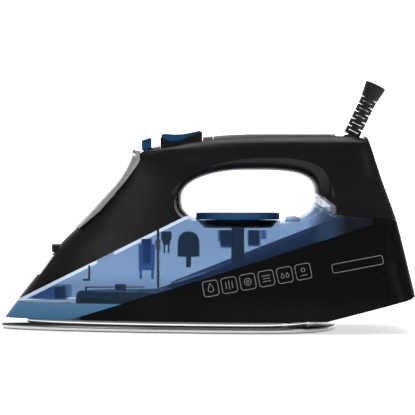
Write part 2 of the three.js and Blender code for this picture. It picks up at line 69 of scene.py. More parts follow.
# ---- The body's form, as in the CAD model ----
FLOOR = 8.2
WIDEST = 0.66  # the share of a plan outline's length at which it is widest
LEVELS = np.array([
    # z, nose, tail, half width, nose exponent, tail exponent
    (8.2, -150, 151, 55, 1.55, 7),
    (24, -138.3, 150.5, 54, 1.6, 7),
    (45, -122, 147, 48.5, 1.7, 6),
    (63, -108.3, 143, 41, 1.8, 6),
    (80, -90.6, 139.5, 33.5, 1.9, 5),
    (98, -73.4, 133.5, 26, 2.0, 4.5),
    (112, -61, 128.5, 20.8, 2.1, 4),
    (123, -54.6, 125, 18.6, 2.2, 4),
    (130, -51.5, 123, 17.6, 2.3, 4),
    (136, -30, 121, 15.2, 2.3, 4),
    (140, -12, 119.5, 11.4, 2.2, 3.5),
    (142.6, 10, 114, 6.6, 2, 3),
    (143.6, 30, 100, 2, 2, 2),
], dtype=float)
# Lines seen from the side: a point (x, z) on the line, and its slope dz/dx.
UPPER = (-137.0, 23.0, 0.496)
LOWER = (-92.5, 10.3, 0.315)
UNDER = (84.0, FLOOR, 0.255)
COLUMN_FOOT = [(79, 93), (90.5, 84.5), (124, 81.3), (BACK, 78)]
# The rear faces: a point (x, z), and the slope dx/dz.
HEEL_FACE = (147.4, 30.0, -0.222)
COLUMN_FACE = (137.0, 80.5, -0.318)
HEEL_SEAM = 127.0
TANK_REAR = 119.0
DIAL_X, DIAL_R, DIAL_LOW, DIAL_HIGH = 22.4, 30.9, 80.3, 85.6
LEVER_X = -45.0
GUARD_X, GUARD_Z, GUARD_TILT = 103.5, 136.5, math.radians(26)
KEY_FRONT, KEY_REAR, KEY_HALF = -34.6, -3.9, 8.6


def on_line(line, x):
    return line[1] + line[2] * (x - line[0])


def on_face(face, z):
    return face[0] + face[2] * (z - face[1])


def smooth_columns(table, at):
    """Monotone cubic values of every column of table at the given first-column values."""
    x, y = table[:, 0], table[:, 1:]
    h = np.diff(x)[:, None]
    d = np.diff(y, axis=0) / h
    m = np.zeros_like(y)
    same = d[:-1] * d[1:] > 0
    w1, w2 = 2 * h[1:] + h[:-1], h[1:] + 2 * h[:-1]
    safe = np.where(same, d[:-1], 1), np.where(same, d[1:], 1)
    m[1:-1] = np.where(same, (w1 + w2) / (w1 / safe[0] + w2 / safe[1]), 0)
    m[0], m[-1] = d[0], d[-1]
    k = np.clip(np.searchsorted(x, at) - 1, 0, len(x) - 2)
    t = ((at - x[k]) / h[k, 0])[:, None]
    hk = h[k]
    return ((1 + 2 * t) * (1 - t) ** 2 * y[k] + t * (1 - t) ** 2 * hk * m[k]
            + t * t * (3 - 2 * t) * y[k + 1] + t * t * (t - 1) * hk * m[k + 1])


def plan_ring(nose, tail, half, nose_form, tail_form, count, widest=None):
    """count points, evenly spaced, round a plan outline."""
    if widest is None:
        widest = nose + WIDEST * (tail - nose)
    phi = np.linspace(0, math.pi, 1400)
    c, s = np.cos(phi), np.abs(np.sin(phi))
    front = phi < math.pi / 2
    form = np.where(front, 2 / nose_form, 2 / tail_form)
    x = widest + np.where(front, nose - widest, tail - widest) * np.abs(c) ** form
    y = half * s ** form
    run = np.concatenate([[0], np.cumsum(np.hypot(np.diff(x), np.diff(y)))])
    at = np.linspace(0, run[-1], count // 2 + 1)
    side = np.stack([np.interp(at, run, x), np.interp(at, run, y)], axis=1)
    side[0, 1] = side[-1, 1] = 0
    other = side[1:-1][::-1] * (1, -1)
    return np.concatenate([side, other])


# ---- Making meshes ----
def place(points):
    p = np.asarray(points, dtype=float).copy()
    p[:, 0] += SHIFT
    return p * MM


def new_object(name, points, faces):
    mesh = bpy.data.meshes.new(name)
    mesh.from_pydata([tuple(p) for p in place(points)], [], [tuple(int(i) for i in f) for f in faces])
    bm = bmesh.new()
    bm.from_mesh(mesh)
    bmesh.ops.remove_doubles(bm, verts=bm.verts, dist=1e-7)
    bmesh.ops.recalc_face_normals(bm, faces=bm.faces)
    bm.to_mesh(mesh)
    bm.free()
    obj = bpy.data.objects.new(name, mesh)
    bpy.context.scene.collection.objects.link(obj)
    return obj


def loft(name, rings):
    """A solid skinned over rings of equal count, closed by a fan at each end."""
    rings = [np.asarray(r, dtype=float) for r in rings]
    n = len(rings[0])
    points = np.concatenate(rings + [rings[0].mean(axis=0)[None], rings[-1].mean(axis=0)[None]])
    faces = []
    for k in range(len(rings) - 1):
        a, b = k * n, (k + 1) * n
        faces += [(a + i, a + (i + 1) % n, b + (i + 1) % n, b + i) for i in range(n)]
    first, last = len(points) - 2, len(points) - 1
    top = (len(rings) - 1) * n
    faces += [(first, (i + 1) % n, i) for i in range(n)]
    faces += [(last, top + i, top + (i + 1) % n) for i in range(n)]
    return new_object(name, points, faces)


def prism(points, y0=-FAR, y1=FAR, name="cutter"):
    """A side-view outline of (x, z) points carried from y0 to y1."""
    n = len(points)
    verts = [(x, y, z) for y in (y0, y1) for x, z in points]
    faces = [tuple(range(n)), tuple(range(2 * n - 1, n - 1, -1))]
    faces += [(i, i + n, (i + 1) % n + n, (i + 1) % n) for i in range(n)]
    obj = new_object(name, verts, faces)
    bm = bmesh.new()
    bm.from_mesh(obj.data)
    bmesh.ops.triangulate(bm, faces=[f for f in bm.faces if len(f.verts) > 4])
    bm.to_mesh(obj.data)
    bm.free()
    return obj


def block(x0, y0, z0, x1, y1, z1):
    return prism([(x0, z0), (x1, z0), (x1, z1), (x0, z1)], y0, y1)


def turned(profile, count=64, name="cutter", ripple=None):
    """A closed (radius, z) profile turned about Z. ripple(radius, z, angle) may change the radius."""
    angles = np.arange(count) * 2 * math.pi / count
    verts, faces, n = [], [], len(profile)
    for a in angles:
        for r, z in profile:
            rr = ripple(r, z, a) if ripple else r
            verts.append((rr * math.cos(a), rr * math.sin(a), z))
    for j in range(count):
        k = (j + 1) % count
        for i in range(n - 1):
            faces.append((j * n + i, k * n + i, k * n + i + 1, j * n + i + 1))
    return new_object(name, verts, faces)


def moved(obj, x, y, z=0):
    obj.data.transform(Matrix.Translation(Vector((x, y, z)) * MM))
    return obj


def post(x, y, z0, z1, r, r_top=None, count=48):
    """An upright round post, or a cone where r_top is given."""
    r_top = r if r_top is None else r_top
    return moved(turned([(0, z0), (r, z0), (r_top, z1), (0, z1)], count), x, y)


def applied(obj):
    """Bakes the object's modifiers into its mesh."""
    depsgraph = bpy.context.evaluated_depsgraph_get()
    mesh = bpy.data.meshes.new_from_object(obj.evaluated_get(depsgraph))
    old = obj.data
    obj.modifiers.clear()
    obj.data = mesh
    bpy.data.meshes.remove(old)
    return obj


def copied(obj, name="cutter"):
    other = obj.copy()
    other.data = obj.data.copy()
    other.name = name
    bpy.context.scene.collection.objects.link(other)
    return other


def combine(obj, other, operation, keep=False):
    modifier = obj.modifiers.new("cut", "BOOLEAN")
    modifier.operation = operation
    modifier.solver = "MANIFOLD"
    modifier.object = other
    applied(obj)
    if not keep:
        mesh = other.data
        bpy.data.objects.remove(other)
        bpy.data.meshes.remove(mesh)
    return obj


def cut(obj, *others, keep=False):
    for other in others:
        combine(obj, other, "DIFFERENCE", keep)
    return obj


def keep_only(obj, *others, keep=False):
    for other in others:
        combine(obj, other, "INTERSECT", keep)
    return obj


def joined(obj, *others):
    for other in others:
        combine(obj, other, "UNION")
    return obj


def softened(obj, width, segments=3, angle=30):
    modifier = obj.modifiers.new("edge", "BEVEL")
    modifier.width = width * MM
    modifier.segments = segments
    modifier.limit_method = "ANGLE"
    modifier.angle_limit = math.radians(angle)
    modifier.harden_normals = False
    return applied(obj)


def clean(obj, smooth_angle=32):
    """Welds what the cutting left, drops loose slivers, and shades smooth across shallow angles."""
    bm = bmesh.new()
    bm.from_mesh(obj.data)
    bmesh.ops.remove_doubles(bm, verts=bm.verts, dist=2e-6)
    bmesh.ops.dissolve_degenerate(bm, edges=bm.edges, dist=2e-6)
    sharp = math.radians(smooth_angle)
    for face in bm.faces:
        face.smooth = True
    for edge in bm.edges:
        edge.smooth = not (edge.is_manifold and edge.calc_face_angle(0) > sharp)
    bm.to_mesh(obj.data)
    bm.free()
    return obj


# ---- The body form and the hand's opening ----
Z_FINE = np.unique(np.concatenate([
    np.linspace(FLOOR, 24, 10),
    np.linspace(24, 112, 50),
    np.linspace(112, 136, 22),
    np.linspace(136, 143.6, 18),
]))
Z_COARSE = np.unique(np.append(Z_FINE[::2], Z_FINE[-1]))


def body_form(inset=0.0, low=FLOOR, count=220, fine=Z_FINE):
    values = smooth_columns(LEVELS, fine)
    rings = []
    for z, (nose, tail, half, a, b) in zip(fine, values):
        height = low if z == fine[0] else z - (inset if z > 129 else 0)
        outline = plan_ring(nose + 1.35 * inset, tail - inset, max(half - inset, 0.8), a, b, count)
        rings.append(np.column_stack([outline, np.full(len(outline), height)]))
    heights = [r[0, 2] for r in rings]
    rings = [r for i, r in enumerate(rings) if i == 0 or heights[i] > max(heights[:i]) + 1e-6]
    solid = loft("form", rings)
    heel = HEEL_FACE[0] - inset
    rear = prism([
        (-FAR, -FAR),
        (heel + 12, -FAR),
        (on_face(HEEL_FACE, 18) - inset, 18),
        (heel, HEEL_FACE[1]),
        (COLUMN_FACE[0] - inset, COLUMN_FACE[1]),
        (on_face(COLUMN_FACE, 150) - inset, 150),
        (-FAR, 150),
    ])
    return keep_only(solid, rear)


# How far the hand hole's edge opens out (second column) at each distance from the middle plane.
FLARE = np.array([
    (0, 0),
    (7, 0),
    (11, 0.8),
    (14.5, 2.6),
    (17, 5.4),
    (18.6, 9.5),
    (24, 15),
    (60, 26),
], dtype=float)
HOLE_X, HOLE_Z = 30, 97


def evenly_spaced(x, z, count):
    """count points at equal steps round a closed outline."""
    x, z = np.append(x, x[0]), np.append(z, z[0])
    run = np.concatenate([[0], np.cumsum(np.hypot(np.diff(x), np.diff(z)))])
    at = np.linspace(0, run[-1], count + 1)[:-1]
    return np.interp(at, run, x), np.interp(at, run, z)


def hand_gap(grow=0.0, count=120):
    """The hole for the fingers, grown by a wall's thickness where asked."""
    outward = np.unique(np.concatenate([
        np.linspace(0, 17, 12),
        np.linspace(17, 24, 12),
        np.linspace(24, 60, 8),
    ]))
    wide = smooth_columns(FLARE, outward)[:, 0]
    stations = [(-y, w) for y, w in zip(outward[::-1], wide[::-1])][:-1] + list(zip(outward, wide))
    angle = np.linspace(0, 2 * math.pi, 4001)[:-1]
    c, s = np.cos(angle), np.sin(angle)
    upper = s >= 0
    form = 2 / np.where(c < 0, np.where(upper, 2.1, 3.2), np.where(upper, 3.4, 2.6))
    rings = []
    for y, w in stations:
        rise = np.where(upper, 20 + grow + min(w, 12), 18.6 + grow + 0.16 * w)
        reach = 49.3 + grow + np.where(upper, w, w * 0.45) * 0.8
        x = HOLE_X + reach * np.sign(c) * np.abs(c) ** form
        z = HOLE_Z + rise * np.sign(s) * np.abs(s) ** form
        x, z = evenly_spaced(x, z, count)
        rings.append(np.column_stack([x, np.full(count, y), z]))
    return loft("gap", rings)


# ---- Body shells ----
def line_ends(line, x0, x1, rise=0.0):
    """The two ends of a side-view line between two stations."""
    return [(x, on_line(line, x) + rise) for x in (x0, x1)]


def upper_edge(drop):
    """The line between the housing and the tank, up into the hand hole and down behind it."""
    foot = [(x, z - drop) for x, z in COLUMN_FOOT]
    return line_ends(UPPER, FRONT, -17.5, -drop) + [(HOLE_X, HOLE_Z)] + foot


def upper_region(drop=0.0):
    return prism(upper_edge(drop) + [(BACK, FAR), (FRONT, FAR)])


def strip(points, dx=0.0, dz=0.0):
    """A thin band along a side-view line, for the groove where two shells meet."""
    return prism([(x - dx, z - dz) for x, z in points] + [(x + dx, z + dz) for x, z in points][::-1])


def make_grooves():
    """Shallow cuts along the lines where the shells meet."""
    skin = copied(form)
    cut(skin, body_form(0.55, 0, 140))
    lines = [
        strip(line_ends(UPPER, FRONT, -17.5, 0.32), dz=0.24),
        strip(COLUMN_FOOT, dz=0.2),
        strip(line_ends(LOWER, LOWER[0] - 2, TANK_REAR + 0.2, -0.28), dz=0.2),
        strip([(HEEL_SEAM, 0), (HEEL_SEAM, 81.4)], dx=0.2),
    ]
    return [keep_only(copied(skin), line) for line in lines]


# What several shells are cut from or by.
form = body_form()
inner = body_form(WALL, 0, count=120, fine=Z_COARSE)
gap = hand_gap()
gap_skin = hand_gap(WALL, 80)
grooves = make_grooves()


def grooved(obj):
    return cut(obj, *grooves, keep=True)


def make_housing():
    obj = copied(form, "housing_shell")
    keep_only(obj, upper_region())
    grooved(obj)
    cut(obj, gap, keep=True)
    hollow = copied(inner)
    keep_only(hollow, upper_region(1))
    cut(hollow, gap_skin, keep=True)
    cut(obj, hollow)
    key_hole = block(KEY_FRONT - 0.5, -KEY_HALF - 0.5, 119, KEY_REAR + 0.5, KEY_HALF + 0.5, FAR)
    lever_slot = block(LEVER_X - 4.6, -5, 124, LEVER_X + 0.4, 5, FAR)
    filler_hole = block(-83, -7, 70, -68, 7, FAR)
    sleeve_notch = block(GUARD_X - 9.3, -8.4, 127.5, 115.4, 8.4, FAR)
    cover_seat = block(4, -8.5, 135, 90, 8.5, FAR)
    cut(obj, key_hole, lever_slot, filler_hole, sleeve_notch, cover_seat)
    cut(obj, nozzle_bore(), trim_hole(), prism(LENS_HOLE))
    return clean(obj)


LENS_HOLE = [(70, 99.5), (81.6, 99.5), (93, 90.5), (93, 80), (70, 80)]
TRIM_CUT = [(-140, 39.7), (-118.3, 39.7), (-112.3, 53.9), (-140, 53.9)]
TRIM_HALF = 5.3
NOZZLE_X, NOZZLE_Z, NOZZLE_BORE, NOZZLE_DEPTH = -115, 59.3, 3.5, 13


def trim_hole():
    return prism(TRIM_CUT, -TRIM_HALF, TRIM_HALF)


def nozzle_bore():
    """The round hole behind the spray nozzle, turned about its own axis to lie along X."""
    profile = [(0, 0), (NOZZLE_BORE, 0), (NOZZLE_BORE, NOZZLE_DEPTH), (0, NOZZLE_DEPTH)]
    obj = turned(profile, 48)
    back = Matrix.Translation(Vector((SHIFT * MM, 0, 0)))
    obj.data.transform(back @ Matrix.Rotation(math.pi / 2, 4, "Y") @ back.inverted())
    return moved(obj, NOZZLE_X, 0, NOZZLE_Z)


def make_tank():
    """The tinted tank: hollow above its floor, open below it."""
    obj = copied(form, "tank_shell")
    outline = [p for p in upper_edge(0.05) if p[0] < TANK_REAR] + [(TANK_REAR, 81.7)]
    outline += line_ends(LOWER, TANK_REAR, LOWER[0] - 8, 0.05) + [(-102, FLOOR), (FRONT, FLOOR)]
    keep_only(obj, prism(outline))
    grooved(obj)
    cut(obj, gap, keep=True)
    room = copied(inner)
    roof = [p for p in upper_edge(WALL + 0.35) if -100 < p[0] < 100]
    floor = [(108, 80.2)] + line_ends(LOWER, 108, -19, 2.7)
    floor += [(-26, 30.4), (-88, 24), (-104, 24), (-104, 22.1), (-133.5, 22.1)]
    keep_only(room, prism(roof + floor))
    cut(room, gap_skin, keep=True)
    cut(obj, room)
    under = copied(inner)
    keep_only(under, prism([(FRONT, 0), (FRONT, 19.9), (-64, 19.9), (-34, 28.1), (-34, 0)]))
    cut(obj, under)
    dial_well = post(DIAL_X, 0, 74, 90, 31.2, 31.6, 96)
    duct_hole = block(-81.5, -5.5, 35, -69.5, 5.5, 70)
    cut(obj, dial_well, duct_hole, nozzle_bore(), trim_hole())
    return clean(obj)


def make_band():
    obj = copied(form, "lower_shell")
    front = TANK_REAR + SEAM
    keep_only(obj, prism([
        (LOWER[0], FLOOR),
        (UNDER[0], FLOOR),
        (HEEL_SEAM, on_line(UNDER, HEEL_SEAM)),
        (HEEL_SEAM, 80.95),
        (front, 81.7),
        (front, on_line(LOWER, front)),
        (LOWER[0] + 1.5, LOWER[1] + 0.5),
    ]))
    grooved(obj)
    room = copied(inner)
    bottom = [(-120, -5), (64, -5), (64, 10.8), (UNDER[0], 10.8), (BACK, on_line(UNDER, BACK) + UNDER_WALL)]
    keep_only(room, prism(bottom + [(BACK, 90), (-120, 90)]))
    cut(obj, room)
    return clean(obj)


def make_heel():
    front = HEEL_SEAM + SEAM
    obj = copied(form, "heel_shell")
    slope = line_ends(UNDER, front, 144.5)
    keep_only(obj, prism(slope + [(147.2, 25.2), (BACK, 25.2), (BACK, 77.95), (front, 80.95)]))
    grooved(obj)
    room = copied(inner)
    keep_only(room, prism(line_ends(UNDER, 100, BACK, UNDER_WALL) + [(BACK, 77), (100, 77)]))
    cut(obj, room)
    return clean(obj)


def make_lens():
    obj = copied(form, "pilot_window")
    outline = [(70, 99.1), (81.2, 99.1), (92.6, 90.1), (92.6, 80), (70, 80)]
    keep_only(obj, prism(outline), upper_region(-0.1))
    cut(obj, gap, keep=True)
    cut(obj, block(84, -24, 70, 90.3, 24, 89.5))
    return clean(obj)


# ---- Sole ----
# The rolled edge: each height, and how far the plan outline is drawn in there.
PLATE_EDGE = [
    (0, 2.2),
    (0.25, 1.2),
    (0.6, 0.7),
    (1.1, 0.35),
    (1.8, 0.06),
    (2.4, 0),
    (3.1, 0.1),
    (3.7, 0.4),
    (4.1, 0.8),
    (4.3, 1.3),
]


def make_sole():
    """The pointed plate and its steam holes: a curved row on each side, and three holes in the nose."""
    rings = []
    for z, inset in PLATE_EDGE:
        ring = plan_ring(NOSE_X + 0.9 * inset, 95 - inset, 58 - inset, 1.55, 2.3, 360, 38)
        rings.append(np.column_stack([ring, np.full(len(ring), z)]))
    obj = loft("sole_face", rings)
    holes = []
    for count, x0, x1, y0, y1 in ((9, -128, 34, 8.5, 42), (3, -136, -112, 0, 0)):
        for i in range(count):
            t = i / (count - 1)
            y = y0 + math.sin(t * math.pi / 2) * (y1 - y0)
            for side in ((1, -1) if y > 0.1 else (0,)):
                hole = turned([(0, -1), (2.6, -1), (1.5, 0.9), (1.5, 2.2), (0, 2.2)], 24)
                holes.append(moved(hole, x0 + t * (x1 - x0), side * y))
    return clean(cut(obj, *holes))


def skirt_rings(thickness, levels):
    rings = []
    for z, inset in levels:
        k = inset + thickness
        ring = plan_ring(-134 + 1.4 * k, 79 - k, 53.2 - k, 1.58, 2.4, 300, 36)
        rings.append(np.column_stack([ring, np.full(len(ring), z)]))
    return rings


def make_skirt():
    """The bright rim above the plate, a ring with softened edges."""
    levels = [(4.6, 0.3), (4.75, 0.08), (4.95, 0), (7.6, 0), (7.8, 0.1), (7.9, 0.4)]
    obj = loft("skirt_ring", skirt_rings(0, levels))
    cut(obj, loft("cutter", skirt_rings(2.4, [(levels[0][0] - 2, 0), (levels[-1][0] + 2, 0)])))
    return clean(obj)


# ---- Top controls and trim ----
DOOR_FRONT = [(-160, 74), (-94, 74), (-78.6, 87), (-60.8, 108), (-52, 120), (-46, 131), (-160, 137)]


def make_door():
    """The bright strip: a thin curved layer over the housing's front."""
    obj = body_form(-2.4, low=60, fine=np.linspace(60, 136, 70))
    obj.name = "door_panel"
    cut(obj, body_form(-0.45, low=50, fine=np.linspace(56, 138, 70)))
    keep_only(obj, prism(DOOR_FRONT), block(-160, -12, 0, -49.8, 12, 131))
    return clean(obj)


def make_door_trim():
    """The lip along the door's top edge."""
    outline = [(-55.4, 127.6), (-53.0, 127.6), (-53.2, 132.2), (-55.2, 131.7)]
    return clean(softened(prism(outline, -6.8, 6.8, "door_lip"), 0.5))


def make_lever():
    """The tab with three ribs across its top, and the stem and arm that go down to the needle."""
    tab = prism([(-48.5, 131.2), (-41.5, 133.2), (-41.5, 140.8), (-48.5, 138.7)], -5, 5, "lever_tab")
    softened(tab, 0.7, 4)
    for x in (LEVER_X - 1.4, LEVER_X, LEVER_X + 1.4):
        joined(tab, block(x - 0.25, -3.6, 138.2, x + 0.25, 3.6, 139.95 + (x - LEVER_X) * 0.3))
    stem = block(-47.2, -1.5, 117.6, -45.2, 1.5, 134)
    arm = block(-47.2, -1.5, 117.6, -35.1, 1.5, 119.4)
    return clean(joined(tab, stem, arm, post(-36.6, 0, 112, 119.4, 2)))


# The dished top of a key's black sides, and of the blue cap on it.
KEY_TOP = [
    (KEY_FRONT, 141.4),
    (-33, 140.4),
    (-30.6, 138.7),
    (-28.6, 138.1),
    (-26.5, 137.95),
    (-24.2, 138.05),
    (-22, 138.4),
    (-19.5, 139.0),
    (-17, 139.95),
    (-13.5, 141.4),
    (-10, 142.9),
    (KEY_REAR, 145.2),
]
CAP_TOP = [
    (-34.0, 142.7),
    (-32.5, 143.35),
    (-30.5, 143.4),
    (-28.5, 143.3),
    (-26, 143.1),
    (-23.7, 143.0),
    (-20.7, 143.05),
    (-17.7, 143.25),
    (-15, 143.75),
    (-12, 144.4),
    (-5.1, 145.85),
]


def make_key(name, side):
    """A key's black body, with the rod and piston of its pump."""
    y0, y1 = (0.35, KEY_HALF - 0.1) if side > 0 else (-KEY_HALF + 0.1, -0.35)
    body = prism([(KEY_FRONT, 125), (KEY_REAR, 134)] + KEY_TOP[::-1], y0, y1, name)
    softened(body, 0.7, 4, 40)
    y = side * 6.2
    rod, piston = post(-30, y, 96, 129, 1.5), post(-30, y, 95.2, 99, 3)
    return clean(joined(body, rod, piston))


def make_key_cap(name, side):
    """The blue thumb surface: a dished plate that stands above the key's black sides."""
    y0, y1 = (0.75, KEY_HALF - 0.9) if side > 0 else (-KEY_HALF + 0.9, -0.75)
    under = [(x, z + 0.3) for x, z in KEY_TOP[1:-1]]
    cap = prism([(-34.0, 141.4)] + under + [(-5.1, 145.05)] + CAP_TOP[::-1], y0, y1, name)
    return clean(softened(cap, 0.3, 3, 40))


def make_dial():
    """The dial's wheel, with ninety fine grips round its edge and a sunk top."""
    def ripple(r, z, a):
        grip = DIAL_LOW + 0.5 < z < DIAL_HIGH - 0.5 and r > DIAL_R - 0.6
        return r - 0.22 * (0.5 - 0.5 * math.cos(90 * a)) if grip else r

    rim = [
        (DIAL_R - 0.9, DIAL_LOW),
        (DIAL_R - 0.4, DIAL_LOW + 0.12),
        (DIAL_R, DIAL_LOW + 0.55),
        (DIAL_R, DIAL_LOW + 0.9),
        (DIAL_R, DIAL_HIGH - 0.9),
        (DIAL_R - 0.05, DIAL_HIGH - 0.45),
        (DIAL_R - 0.4, DIAL_HIGH - 0.12),
        (DIAL_R - 0.9, DIAL_HIGH),
    ]
    profile = [(0, DIAL_LOW)] + rim + [(22.0, DIAL_HIGH), (21.4, DIAL_HIGH - 0.5), (0, DIAL_HIGH - 0.7)]
    return clean(moved(turned(profile, 720, "dial_wheel", ripple), DIAL_X, 0), 24)


def make_dial_marks():
    """Plain tick marks on the top of the dial, every sixth one longer."""
    parts = []
    for i in range(25):
        a = math.radians(-150 + 12.5 * i)
        long = 3.4 if i % 6 == 0 else 1.8
        tick = block(-0.28, 27.6 - long, DIAL_HIGH - 0.1, 0.28, 27.6, DIAL_HIGH + 0.06)
        turn = Matrix.Translation(Vector((SHIFT + DIAL_X, 0, 0)) * MM) @ Matrix.Rotation(a, 4, "Z")
        tick.data.transform(turn @ Matrix.Translation(Vector((-SHIFT, 0, 0)) * MM))
        parts.append(tick)
    return merged("dial_marks", parts)


def merged(name, parts):
    """One object out of pieces that don't touch."""
    bm = bmesh.new()
    for part in parts:
        bm.from_mesh(part.data)
        mesh = part.data
        bpy.data.objects.remove(part)
        bpy.data.meshes.remove(mesh)
    mesh = bpy.data.meshes.new(name)
    bm.to_mesh(mesh)
    bm.free()
    obj = bpy.data.objects.new(name, mesh)
    bpy.context.scene.collection.objects.link(obj)
    return clean(obj)


def make_dial_sockets():
    """The clear sockets that hang from the tank's roof under the dial."""
    # Each one: its place from the dial's middle, its radius and its lower end.
    sockets = [
        (-12.4, -8, 2.7, 64.5),
        (-8, -6, 5.2, 59.5),
        (-8, 7, 5.2, 60.5),
        (12.0, -7, 4.6, 60.5),
        (12.0, 8, 4.6, 61.5),
        (19, 0, 2.4, 66),
    ]
    wall, roof = 0.9, 72.4
    parts = []
    for dx, dy, r, low in sockets:
        tube = turned([(r - wall, low), (r, low), (r, roof), (r - wall, roof), (r - wall, low)], 40)
        parts.append(moved(tube, DIAL_X + dx, dy))
    return merged("dial_sockets", parts)


def make_tank_fittings():
    """Small parts inside the tank: a drip hook, a level rod with its clip, and a two-pin inlet collar."""
    collar = joined(block(-34.2, -4, 65.5, -26.6, 4, 71.5), post(-30.4, 0, 61.5, 65.6, 2.6, 3.4, 24))
    joined(collar, post(-31.9, 0, 55.5, 62, 0.6, count=16), post(-28.9, 0, 55.5, 62, 0.6, count=16))
    hook = block(-87.6, -9, 36, -86.2, -7.6, 46.6)
    joined(hook, block(-91.5, -9, 35.4, -86.2, -7.6, 36.8))
    rod = block(-89.5, -14, 30.6, -46, -13, 31.4)
    joined(rod, block(-67.5, -15.5, 28.6, -59.8, -11.5, 33.2), block(-89.5, -14, 27, -88, -13, 31))
    return merged("tank_fittings", [collar, hook, rod])


def make_inner_strip():
    """The ribbed rail that climbs to the rear inside the tank's walls, just above the band."""
    parts = []
    for side in (-1, 1):
        rings = []
        for i in range(121):
            x = -28 + i * 1.0
            low = on_line(LOWER, x) + 0.4
            high = low + 1.0 + 9.6 * max(0, min(1, (x + 28) / 120)) + 0.35 * (i % 2)
            thick = 1.9 - 0.8 * (i % 2)
            y_low, y_high = side_y(x, low) - 2.55, side_y(x, high) - 2.55
            rings.append([
                (x, side * y_low, low),
                (x, side * y_high, high),
                (x, side * (y_high - thick), high),
                (x, side * (y_low - thick), low),
            ])
        parts.append(loft("rail", rings))
    return merged("inner_strip", parts)


def make_nose_fill():
    """The deeper-coloured block that fills the tank's nose just above the skirt."""
    obj = body_form(WALL + 0.5, 0, 90)
    obj.name = "nose_fill"
    nose = prism([(-135, 22.3), (-102.5, 22.3), (-102.5, 31.5), (-135, 31.5)])
    keep_only(obj, nose, prism(upper_edge(WALL + 0.9) + [(BACK, 0), (FRONT, 0)]))
    return clean(obj)


def make_pointer():
    """The clear tab on the tank's top that the dial is read against."""
    outline = [(57.6, 78.6), (68.6, 78.6), (68.6, 81.2), (64.5, 83.2), (57.6, 82.4)]
    return clean(prism(outline, -2.2, 2.2, "dial_pointer"))


# ---- Cord sleeve ----
def tilted(obj):
    """Leans a piece made along Z back about the sleeve's pivot."""
    pivot = Vector((SHIFT + GUARD_X, 0, GUARD_Z)) * MM
    turn = Matrix.Rotation(GUARD_TILT, 4, "Y")
    obj.data.transform(Matrix.Translation(pivot) @ turn @ Matrix.Translation(Vector((-SHIFT, 0, 0)) * MM))
    return obj


def make_sleeve():
    """The cord sleeve: five slots right through it, five pairs at its front and back, and a bore on top."""
    outside = [(5.4, 7.1), (6, 7.7), (6, 33.8), (6.4, 37), (6.95, 41), (7.5, 45), (7.85, 47.2), (7.5, 48)]
    bore = [(4.3, 48), (3.8, 47.4), (3.8, 36), (0, 36)]
    obj = turned([(0, 7.1)] + outside + bore, 96, "cord_sleeve_outer")
    for i in range(5):
        z = 9.5 + 5.9 * i
        cut(obj, block(-3.9, -9, z, 3.9, 9, z + 1.2))
        for side in (-1, 1):
            cut(obj, block(min(side * 2.4, side * 9), -9, z + 2.9, max(side * 2.4, side * 9), 9, z + 4.1))
    return clean(tilted(obj))


# ---- Printed marks on the side ----
PRINT_TILT = 0.183


def side_y(x, z):
    """Half the body's width at a station and height."""
    nose, tail, half, nose_form, tail_form = smooth_columns(LEVELS, np.array([z]))[0]
    widest = nose + WIDEST * (tail - nose)
    if x < widest:
        t, form = (widest - x) / (widest - nose), nose_form
    else:
        t, form = (x - widest) / (tail - widest), tail_form
    return half * (1 - min(t, 1) ** form) ** (1 / form)


def print_point(centre_at, u, v, out):
    """A point of the print: u along the sloping row, v across it, out from the side's surface."""
    k = 1 / math.hypot(1, PRINT_TILT)
    x = centre_at[0] + (u - v * PRINT_TILT) * k
    z = centre_at[1] + (u * PRINT_TILT + v) * k
    return (x, -side_y(x, z) - out, z)


def printed(name, centre_at, outlines):
    """Thin raised print: each outline is a closed loop of (u, v) pairs for its outer and its inner edge."""
    points, faces = [], []
    for outer, hole in outlines:
        n, base = len(outer), len(points)
        for loop, out in ((outer, 0.05), (hole, 0.05), (hole, -0.12), (outer, -0.12)):
            points += [print_point(centre_at, u, v, out) for u, v in loop]
        for i in range(n):
            j = (i + 1) % n
            for k in range(4):
                a, b = base + k * n, base + ((k + 1) % 4) * n
                faces.append((a + i, a + j, b + j, b + i))
    return clean(new_object(name, points, faces))


def round_box(w, h, r, steps=6):
    """A closed round-cornered outline. Its straight sides are split up to follow the curved shell."""
    loop = []
    a, b = w / 2 - r, h / 2 - r
    for cx, cy, start in ((a, b, 0), (-a, b, 90), (-a, -b, 180), (a, -b, 270)):
        for i in range(steps + 1):
            turn = math.radians(start + 90 * i / steps)
            loop.append((cx + r * math.cos(turn), cy + r * math.sin(turn)))
    edge = []
    for i, (u, v) in enumerate(loop):
        nu, nv = loop[(i + 1) % len(loop)]
        parts = 12 if i % (steps + 1) == steps else 1
        edge += [(u + (nu - u) * k / parts, v + (nv - v) * k / parts) for k in range(parts)]
    return edge


def frame_outline(w, h, r, line):
    return round_box(w, h, r), round_box(w - 2 * line, h - 2 * line, r - line)


def shape_outline(radius, count, at=(0, 0), line=0.35, point=0.0):
    """A ring of a drop (point over 0) or a circle."""
    def loop(rad):
        out = []
        for i in range(count):
            a = 2 * math.pi * i / count
            u, v = rad * math.sin(a), rad * math.cos(a)
            if math.cos(a) > 0:
                v += point * rad * math.cos(a) ** 3
                u *= 1 - 0.35 * point * math.cos(a)
            out.append((at[0] + u, at[1] + v))
        return out
    return loop(radius), loop(radius - line)


